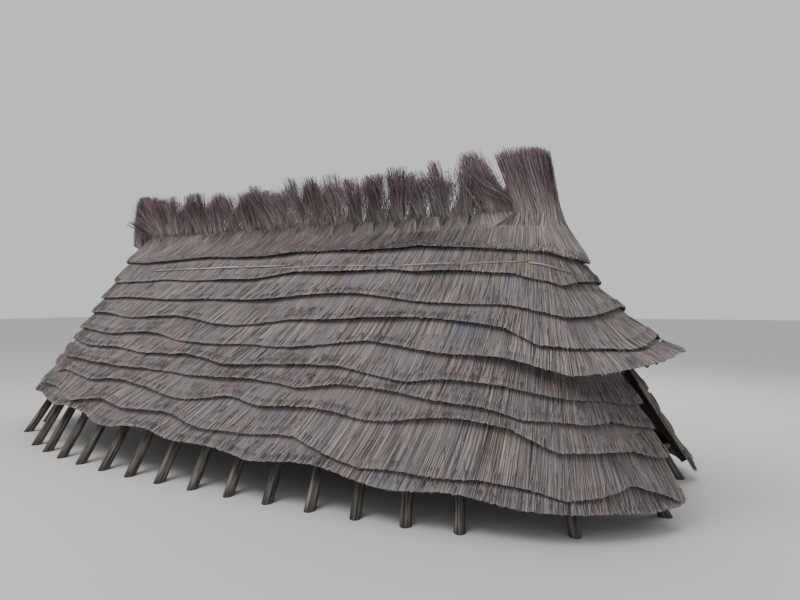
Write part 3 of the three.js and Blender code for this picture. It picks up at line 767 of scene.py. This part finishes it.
def pole_skin(rings, at, girth, shift):
    """Faces between the rings of a pole, with its grain running along it."""
    ends = [rings[0].mean(0)[None], rings[-1].mean(0)[None]]
    i, j = np.meshgrid(np.arange(len(at) - 1), np.arange(LOG_SIDES), indexing="ij")
    low, high, k = i * LOG_SIDES, (i + 1) * LOG_SIDES, (j + 1) % LOG_SIDES
    faces = np.stack([low + j, low + k, high + k, high + j], -1).reshape(-1, 4)
    u = np.stack([j, j + 1, j + 1, j], -1) * girth + shift
    v = np.stack([at[i], at[i], at[i + 1], at[i + 1]], -1)
    points = np.concatenate([rings.reshape(-1, 3)] + ends)
    return part(points, faces, np.stack([u, v], -1).reshape(-1, 4, 2), BARK)


def pole_ends(stops, radius, angle):
    """Fans that close a pole round the two middle points, which are the last of its skin's."""
    ring = np.arange(LOG_SIDES)
    following = (ring + 1) % LOG_SIDES
    last = (stops - 1) * LOG_SIDES
    before = stops * LOG_SIDES + 2
    foot = np.stack([np.full(LOG_SIDES, before - 2), following, ring], -1)
    head = np.stack([np.full(LOG_SIDES, before - 1), last + ring, last + following], -1)
    flat = np.stack([np.sin(angle), np.cos(angle)], -1) * radius
    middle = np.zeros((LOG_SIDES, 2))
    corners = [(middle, flat[following], flat[ring]), (middle, flat[ring], flat[following])]
    places = np.concatenate([np.stack(c, 1) for c in corners])
    return part(NO_POINTS, np.concatenate([foot, head]) - before, places, CUT)


def timber(path, radii, rng, crook, level_foot=False):
    """A round pole along a path, a little crooked and knotty, with closed ends."""
    at, centre, thick = pole_line(path, radii)
    stops = len(at)
    along = unit(np.gradient(centre, axis=0))
    across = unit(np.cross(along, np.broadcast_to(LOG_FACING, along.shape)))
    lift = np.cross(across, along)
    phase = rng.uniform(0, 6.28, 4)
    wave = np.sin(at * 2.3 + phase[0]) + 0.6 * np.sin(at * 5.1 + phase[1])
    bend = across * wave[:, None] + lift * np.cos(at * 2.9 + phase[2])[:, None]
    centre = centre + bend * crook * np.sin(np.linspace(0, np.pi, stops))[:, None]
    angle = np.linspace(0, 2 * np.pi, LOG_SIDES, endpoint=False)
    knots = 1 + rng.normal(0, 0.018, (stops, LOG_SIDES)) + 0.02 * np.cos(2 * angle + phase[3])
    rings = centre[:, None] + round_line(lift, across, angle) * (thick[:, None] * knots)[..., None]
    if level_foot:
        rings[0] = rings[0] - along[0] * (rings[0][:, 2:] / along[0][2])
    girth = float(thick.mean()) * 2 * np.pi / LOG_SIDES
    skin = pole_skin(rings, at, girth, rng.uniform(0, 50))
    return [skin, pole_ends(stops, float(thick[0]), angle)]


def node_points(name):
    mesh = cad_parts[name].data
    points = np.zeros(len(mesh.vertices) * 3)
    mesh.vertices.foreach_get("co", points)
    return points.reshape(-1, 3)


def rafter_axis(name, side=0):
    """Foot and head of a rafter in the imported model; side picks one of a pair by its foot."""
    points = node_points(name)
    feet = points[(points[:, 2] < 0.002) & (points[:, 1] * side >= 0)]
    foot = (feet.min(0) + feet.max(0)) / 2
    high = points[points[:, 2] > 2.0] if side else points
    away = np.linalg.norm(high - foot, axis=1)
    head = high[away > away.max() - 0.004].mean(0)
    return np.array([foot * [1, 1, 0], head])


FIBRE_TURNS = 11
FIBRE_HALF_LENGTH = 0.09
FIBRE_RADIUS = 0.068
FIBRE_SIDES = 6


def windings(middle, rng):
    """Turns of twisted fibre round a crossing, wound along X."""
    parts = []
    for k in range(FIBRE_TURNS):
        x = middle[0] + mix(-FIBRE_HALF_LENGTH, FIBRE_HALF_LENGTH, (k + 0.5) / FIBRE_TURNS)
        angle = np.linspace(0, 2 * np.pi, 25)
        tilt = rng.uniform(-0.006, 0.006)
        ring_x = x + tilt * np.sin(angle) + rng.normal(0, 0.001)
        ring_y = middle[1] + FIBRE_RADIUS * np.cos(angle)
        ring_z = middle[2] + FIBRE_RADIUS * np.sin(angle)
        ring = np.stack([ring_x, ring_y, ring_z], -1)
        parts.append(fibre_ring(ring[:-1], FIBRE_HALF_LENGTH / FIBRE_TURNS * 0.98))
    return parts


def fibre_ring(centre, thick):
    """A closed ring of fibre through a loop of points."""
    stops, sides = len(centre), FIBRE_SIDES
    along = unit(np.roll(centre, -1, 0) - np.roll(centre, 1, 0))
    outside = unit(centre - centre.mean(0))
    across = unit(np.cross(along, outside))
    angle = np.linspace(0, 2 * np.pi, sides, endpoint=False)
    rings = centre[:, None] + thick * round_line(outside, across, angle)
    i, j = np.meshgrid(np.arange(stops), np.arange(sides), indexing="ij")
    n, k = (i + 1) % stops, (j + 1) % sides
    faces = np.stack([i * sides + j, i * sides + k, n * sides + k, n * sides + j], -1)
    u = np.stack([j, j + 1, j + 1, j], -1) * 0.01
    v = np.stack([i, i, i + 1, i + 1], -1) * 0.02
    places = np.stack([u, v], -1).reshape(-1, 4, 2)
    return faced_out(part(rings.reshape(-1, 3), faces.reshape(-1, 4), places, FIBRE))


RAFTER = 0.06
RAFTER_RADII = [RAFTER * 1.08, RAFTER * 0.86]  # at the foot and at the head
RAFTER_CROOK = 0.004
RAFTER_PAIRS = 14
REAR_RAFTERS = ["middle", "near_inner", "far_inner", "near_outer", "far_outer"]
LONE_RAFTERS = [f"rear_rafter_{place}" for place in REAR_RAFTERS]
LONE_RAFTERS += ["front_corner_rafter_near", "front_corner_rafter_far"]
LONE_RAFTERS += ["door_rafter_near", "door_rafter_far"]


def rafter_pair(number, finishes):
    name = f"rafter_pair_{number}"
    rng = draws("rafter pair", number)
    parts = []
    crossings = []
    for side in (-1, 1):
        axis = rafter_axis(name, side)
        parts += timber(axis, RAFTER_RADII, rng, RAFTER_CROOK, True)
        at = axis[0, 1] / (axis[0, 1] - axis[1, 1])
        crossings.append(mix(axis[0], axis[1], at))
    parts += windings((crossings[0] + crossings[1]) / 2, rng)
    piece(f"rafters_{number}", parts, finishes, [name], smooth=True)


def lone_rafters(finishes):
    for number, name in enumerate(LONE_RAFTERS):
        rng = draws("lone rafter", number)
        parts = timber(rafter_axis(name), RAFTER_RADII, rng, RAFTER_CROOK, True)
        piece(f"{name}_log", parts, finishes, [name], smooth=True)


def stations_between(start, end):
    doors = [DOOR_SHARE + splay for splay in DOOR_SPLAYS]
    doors += [1 - share for share in doors]
    marks = np.unique(doors + [i / STATIONS for i in range(STATIONS)])
    marks = start + np.mod(marks - start, 1)
    inner = np.sort(marks[(marks > start + 0.0005) & (marks < end - 0.0005)])
    return np.concatenate([[start], inner, [end]])


RAIL = 0.035
RAIL_CROOK = 0.0015
RAILS = {"upper": (0.27, 0.0036), "middle": (0.46, 0.0036), "lower": (0.86, 0.0026)}  # slope, gap
RAIL_BREAK = 0.0007
HOOD_HOOP_END = 6 / STATIONS
REAR_HOOP_START = 19 / STATIONS
HOOD_RAFTER = 0.028
HOOD_RAFTER_SLOPES = np.array([0.16, 0.27, 0.36, 0.46, 0.5])


def rail_depth(level):
    return THATCH_DEPTH + RAILS[level][1] + RAIL


def rail_runs(level):
    """The poles of one level, each with the shares of the plan where it starts and ends."""
    hooded = level != "lower"
    front = (HOOD_HOOP_END if hooded else DOOR_SHARE + DOOR_SPLAYS[-3]) + RAIL_BREAK
    rear, past = REAR_HOOP_START - RAIL_BREAK, REAR_HOOP_START + RAIL_BREAK
    runs = {
        f"near_rail_{level}": on_side("near", front, rear),
        f"far_rail_{level}": on_side("far", front, rear),
        f"rear_hoop_{level}": (past, 1 - past),
    }
    if hooded:
        runs[f"hood_hoop_{level}"] = (RAIL_BREAK - HOOD_HOOP_END, HOOD_HOOP_END - RAIL_BREAK)
    return runs


def rails(finishes):
    rng = draws("rails")
    for level, (slope, _) in RAILS.items():
        for name, (start, end) in rail_runs(level).items():
            shares = stations_between(start, end)
            path = thatch_point(shares, slope, -rail_depth(level), level != "lower")
            parts = timber(path, RAIL * 0.98, rng, RAIL_CROOK)
            piece(f"{name}_pole", parts, finishes, [name], smooth=True)


def hood_rafters(finishes):
    depth = rail_depth("upper") + RAIL + HOOD_RAFTER + 0.0009
    for number, (side, station) in enumerate({"near": 1, "middle": 0, "far": -1}.items()):
        name = f"hood_rafter_{side}"
        path = thatch_point(station / STATIONS, HOOD_RAFTER_SLOPES, -depth, True)
        parts = timber(path, HOOD_RAFTER, draws("hood rafter", number), RAIL_CROOK)
        piece(f"{name}_pole", parts, finishes, [name], smooth=True)


def ridge_pole(finishes):
    low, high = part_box("ridge_pole")
    height = (low.z + high.z) / 2
    path = np.array([[low.x, 0, height], [high.x, 0, height]])
    parts = timber(path, (high.z - low.z) / 2, draws("ridge pole"), 0.003)
    piece("ridge_pole_log", parts, finishes, ["ridge_pole"], smooth=True)


# Hazel rods, lapped end to end over the second course

ROD_SLOPE = 0.218
ROD_ENDS = (6 / STATIONS, 17 / STATIONS)
ROD = 0.012
ROD_COUNT = 6
ROD_OVERLAP = 0.12
ROD_STOPS = 14
# Short rods on the hood: the shares where they start and end, and their slopes there
HOOD_RODS = [
    (0.118, 0.085, 0.222, 0.205),
    (0.086, 0.052, 0.212, 0.25),
    (0.012, -0.03, 0.205, 0.215),
]


def rod(low, high, slope, rng):
    shares = np.linspace(low, high, ROD_STOPS)
    begin = course_start(1, shares)
    body = np.clip((slope - begin) / (course_end(1, shares) - begin), 0, 1)
    out = body_height(body, lift_at(1, shares)) + ROD * 1.4
    path = thatch_point(shares, slope, out, True)
    return timber(path, np.linspace(1.15, 0.8, ROD_STOPS) * ROD, rng, 0.004)


def tying_rods(side, finishes):
    rng = draws(f"rods {side}")
    start, end = on_side(side, *ROD_ENDS)
    parts = []
    for k in range(ROD_COUNT):
        low = mix(start, end, max(0, (k - ROD_OVERLAP) / ROD_COUNT))
        high = mix(start, end, min(1, (k + 1 + ROD_OVERLAP) / ROD_COUNT))
        tilt = np.linspace(-1, 1, ROD_STOPS) * rng.uniform(-0.005, 0.005)
        parts += rod(low, high, ROD_SLOPE + rng.uniform(-0.006, 0.006) + tilt, rng)
    for low, high, low_slope, high_slope in HOOD_RODS if side == "near" else []:
        parts += rod(low, high, np.linspace(low_slope, high_slope, ROD_STOPS), rng)
    piece(f"hazel_rods_{side}", parts, finishes, [f"tying_rod_{side}"], smooth=True)


# Finishes


def new_group(name, inputs, outputs):
    group = bpy.data.node_groups.new(name, "ShaderNodeTree")
    for way, sockets in (("INPUT", inputs), ("OUTPUT", outputs)):
        for label, kind in sockets:
            group.interface.new_socket(label, in_out=way, socket_type=f"NodeSocket{kind}")
    return group, group.nodes.new("NodeGroupInput"), group.nodes.new("NodeGroupOutput")


def node(tree, kind, **settings):
    made = tree.nodes.new(kind)
    for key, value in settings.items():
        setattr(made, key, value)
    return made


def put(tree, socket, value):
    """Sets a socket to a number, or links it to another socket."""
    if isinstance(value, (int, float)):
        socket.default_value = value
    else:
        tree.links.new(value, socket)


def stretch_range(tree, value, low, high, to_low=0.0, to_high=1.0):
    """The value, with the range from low to high stretched to another range."""
    made = node(tree, "ShaderNodeMapRange")
    for index, given in enumerate((value, low, high, to_low, to_high)):
        put(tree, made.inputs[index], given)
    return made.outputs["Result"]


def noise(tree, place, across, along, low, high, detail=2.0):
    """Noise with its own scale across and along the grain, cut off below low and above high."""
    scale = node(tree, "ShaderNodeCombineXYZ")
    put(tree, scale.inputs[0], across)
    put(tree, scale.inputs[1], along)
    stretched = node(tree, "ShaderNodeVectorMath", operation="MULTIPLY")
    put(tree, stretched.inputs[0], place)
    put(tree, stretched.inputs[1], scale.outputs[0])
    texture = node(tree, "ShaderNodeTexNoise", noise_dimensions="2D")
    texture.inputs["Scale"].default_value = 1.0
    texture.inputs["Detail"].default_value = detail
    put(tree, texture.inputs["Vector"], stretched.outputs[0])
    return stretch_range(tree, texture.outputs["Fac"], low, high)


def times(tree, value, factor):
    made = node(tree, "ShaderNodeMath", operation="MULTIPLY")
    put(tree, made.inputs[0], value)
    put(tree, made.inputs[1], factor)
    return made.outputs[0]


def blended(tree, factor, a, b):
    made = node(tree, "ShaderNodeMix", data_type="RGBA")
    for index, value in ((0, factor), (6, a), (7, b)):
        put(tree, made.inputs[index], value)
    return made.outputs[2]


def stem_grain_group():
    """Stems side by side: fine lines along the reed, handfuls of it, and weathered patches."""
    inputs = [("Place", "Vector"), ("Stems Per Metre", "Float"), ("Along", "Float")]
    outputs = [(label, "Float") for label in ("Tone", "Height", "Patch")]
    tree, given, result = new_group("stem grain", inputs, outputs)
    place, stems_per_metre, along = (given.outputs[k] for k in range(3))
    fine = noise(tree, place, stems_per_metre, along, 0.28, 0.72)
    strand = noise(tree, place, times(tree, stems_per_metre, 0.55), 1.1, 0.32, 0.68)
    sheaf = noise(tree, place, times(tree, stems_per_metre, 0.12), 0.9, 0.3, 0.7)
    streak = noise(tree, place, 6.0, 0.8, 0.35, 0.7, 3.0)
    patch = noise(tree, place, 1.6, 1.2, 0.35, 0.65, 3.0)
    lines = blended(tree, 0.42, fine, strand)
    tone = stretch_range(tree, blended(tree, 0.12, lines, sheaf), 0.27, 0.76)
    tree.links.new(tone, result.inputs["Tone"])
    tree.links.new(lines, result.inputs["Height"])
    tree.links.new(blended(tree, 0.5, streak, patch), result.inputs["Patch"])
    return tree


SHADE_LABELS = ("Dark", "Middle", "Pale", "Stain")


def weathered_group():
    """Tone to colour between a dark, a middle and a pale value, with a stain laid on in patches."""
    inputs = [("Tone", "Float"), ("Patch", "Float")]
    inputs += [(label, "Color") for label in SHADE_LABELS]
    tree, given, result = new_group("weathered tone", inputs, [("Colour", "Color")])
    tone, patch, dark, middle, pale, stain = (given.outputs[k] for k in range(6))
    low_half = blended(tree, stretch_range(tree, tone, 0.0, 0.5), dark, middle)
    whole = blended(tree, stretch_range(tree, tone, 0.5, 1.0), low_half, pale)
    stained = blended(tree, times(tree, patch, 0.55), whole, stain)
    tree.links.new(stained, result.inputs["Colour"])
    return tree


STEM_GRAIN = stem_grain_group()
WEATHERED = weathered_group()


def weathered(tree, grain, shades):
    """The colour of the grain, for shades given as dark, middle, pale and stain."""
    made = node(tree, "ShaderNodeGroup", node_tree=WEATHERED)
    for label, shade in zip(SHADE_LABELS, shades):
        made.inputs[label].default_value = (*shade, 1.0)
    for label in ("Tone", "Patch"):
        tree.links.new(grain.outputs[label], made.inputs[label])
    return made.outputs["Colour"]


def ripeness(tree):
    """A mask of the stems' tips."""
    tip = node(tree, "ShaderNodeAttribute", attribute_name="tip")
    ramp = node(tree, "ShaderNodeValToRGB")
    for element, position, grey in zip(ramp.color_ramp.elements, (0.25, 0.75), (0, 1)):
        element.position = position
        element.color = (grey, grey, grey, 1)
    tree.links.new(tip.outputs["Fac"], ramp.inputs[0])
    return ramp.outputs[0]


def new_material(name):
    material = bpy.data.materials.new(name)
    material.use_nodes = True
    return material, material.node_tree, material.node_tree.nodes["Principled BSDF"]


def grained(name, shades, stems_per_metre, along, bump, roughness, tips=None):
    """A material of reed or wood, whose grain follows the reed places stored in the mesh."""
    material, tree, shader = new_material(name)
    shader.inputs["Specular IOR Level"].default_value = 0.25
    place = node(tree, "ShaderNodeUVMap", uv_map="reed_place")
    grain = node(tree, "ShaderNodeGroup", node_tree=STEM_GRAIN)
    grain.inputs["Stems Per Metre"].default_value = stems_per_metre
    grain.inputs["Along"].default_value = along
    tree.links.new(place.outputs[0], grain.inputs["Place"])
    final = weathered(tree, grain, shades)
    if tips:
        final = blended(tree, ripeness(tree), final, weathered(tree, grain, tips))
    tree.links.new(final, shader.inputs["Base Color"])
    rough = stretch_range(tree, grain.outputs["Tone"], 0.0, 1.0, roughness, roughness - 0.15)
    tree.links.new(rough, shader.inputs["Roughness"])
    relief = node(tree, "ShaderNodeBump")
    relief.inputs["Distance"].default_value = bump
    relief.inputs["Strength"].default_value = 0.8
    tree.links.new(grain.outputs["Height"], relief.inputs["Height"])
    tree.links.new(relief.outputs["Normal"], shader.inputs["Normal"])
    return material


# Dark, middle, pale and stain of each finish
REED_SHADES = [
    (0.032, 0.024, 0.021), (0.198, 0.158, 0.134), (0.48, 0.41, 0.35), (0.145, 0.162, 0.228)
]
# Butts: the darker cut ends of the reed, darkened further as painted shadow under each course's edge
# and in the recess below it
BUTT_AND_SHADOW_SHADES = [
    (0.006, 0.005, 0.004), (0.022, 0.017, 0.014), (0.075, 0.058, 0.047), (0.018, 0.015, 0.014)
]
STEM_SHADES = [(0.06, 0.048, 0.042), (0.24, 0.20, 0.172), (0.52, 0.46, 0.40), (0.19, 0.19, 0.22)]
# The crest stems are the roof's reed, painted lighter to make up for the shade that falls among the
# dense stems
CREST_SHADES_WITH_PAINTED_LIGHT = [
    (0.11, 0.088, 0.075), (0.33, 0.275, 0.235), (0.62, 0.55, 0.48), (0.26, 0.265, 0.31)
]
TIP_SHADES = [(0.06, 0.04, 0.042), (0.2, 0.14, 0.14), (0.48, 0.36, 0.335), (0.165, 0.15, 0.2)]
LOG_SHADES = [(0.03, 0.026, 0.023), (0.11, 0.093, 0.08), (0.25, 0.22, 0.19), (0.09, 0.082, 0.075)]
END_SHADES = [(0.07, 0.05, 0.035), (0.21, 0.16, 0.115), (0.36, 0.29, 0.21), (0.13, 0.11, 0.09)]
ROD_SHADES = [(0.16, 0.12, 0.09), (0.38, 0.31, 0.25), (0.58, 0.50, 0.42), (0.30, 0.26, 0.23)]
FIBRE_SHADES = [(0.09, 0.07, 0.045), (0.24, 0.19, 0.13), (0.42, 0.35, 0.25), (0.16, 0.13, 0.10)]


# The stage

LIT_POINT = np.array([0, 0, 1.5])
FLOOR_REACH = 90.0


def standing_light(name, place, size, power, tint):
    lamp = bpy.data.lights.new(name, "AREA")
    lamp.shape = "RECTANGLE"
    lamp.size, lamp.size_y = size
    lamp.energy = power
    lamp.color = tint
    way = LIT_POINT - np.array(place)
    yaw = math.atan2(way[0], -way[1])
    pitch = math.atan2(math.hypot(way[0], way[1]), -way[2])
    place_object(name, lamp, place, (pitch, 0, yaw + math.pi))


def place_camera():
    lens = bpy.data.cameras.new("camera")
    lens.sensor_width = 36.0
    lens.lens = LENS_MM
    lens.clip_end = 200
    turn = (math.radians(90) + VIEW_PITCH, 0, VIEW_YAW)
    bpy.context.scene.camera = place_object("camera", lens, EYE, turn)


def lay_floor():
    mesh = bpy.data.meshes.new("floor")
    corners = np.array([(-1, -1, 0), (1, -1, 0), (1, 1, 0), (-1, 1, 0)]) * FLOOR_REACH
    mesh.from_pydata(corners.tolist(), [], [(0, 1, 2, 3)])
    material, _, shader = new_material("pale floor")
    shader.inputs["Base Color"].default_value = (0.62, 0.61, 0.59, 1.0)
    shader.inputs["Roughness"].default_value = 0.9
    mesh.materials.append(material)
    floor = place_object("floor", mesh, (0, 0, -0.001))


def light_scene():
    world = bpy.data.worlds.new("studio")
    bpy.context.scene.world = world
    world.use_nodes = True
    sky = world.node_tree.nodes["Background"]
    sky.inputs["Color"].default_value = (0.94, 0.96, 1.0, 1.0)
    sky.inputs["Strength"].default_value = 0.75
    standing_light("key", (-3.0, -7.0, 12.0), (9, 7), 1100, (1.0, 0.97, 0.93))
    standing_light("rear", (4.0, 9.0, 11.0), (10, 8), 1000, (1.0, 0.98, 0.95))


place_camera()

reed = grained("weathered reed", REED_SHADES, 165.0, 1.4, 0.006, 0.95)
# The butts' finish holds painted shadow as well as the darker cut reed ends
butts = grained("reed butts and painted shadow", BUTT_AND_SHADOW_SHADES, 110.0, 30.0, 0.006, 1.0)
loose = grained("loose reed", STEM_SHADES, 60.0, 2.0, 0.001, 0.9)
# The crossed stems' base shades carry painted light, lighter than the roof's reed to cancel the
# shade among them
crossed = grained("crossed reed tips", CREST_SHADES_WITH_PAINTED_LIGHT, 60.0, 2.0, 0.001, 0.95, TIP_SHADES)
bark = grained("weathered bark", LOG_SHADES, 55.0, 3.0, 0.004, 0.95)
sawn = grained("log ends", END_SHADES, 90.0, 90.0, 0.002, 0.9)
hazel = grained("hazel rod", ROD_SHADES, 90.0, 6.0, 0.001, 0.85)
fibre = grained("twisted fibre", FIBRE_SHADES, 160.0, 90.0, 0.002, 0.95)

for course in range(1, len(COURSE_ENDS)):
    thatch_course(course, [reed, butts, loose])
for side in ("near", "far"):
    crest_side(side, [reed, butts, loose, crossed])
for side in ("front", "rear"):
    crest_end(side, [reed, butts, loose, crossed])
for number in range(1, RAFTER_PAIRS + 1):
    rafter_pair(number, [bark, sawn, fibre])
lone_rafters([bark, sawn])
rails([bark, sawn])
hood_rafters([bark, sawn])
ridge_pole([bark, sawn])
for side in ("near", "far"):
    tying_rods(side, [hazel, sawn])

lay_floor()
light_scene()
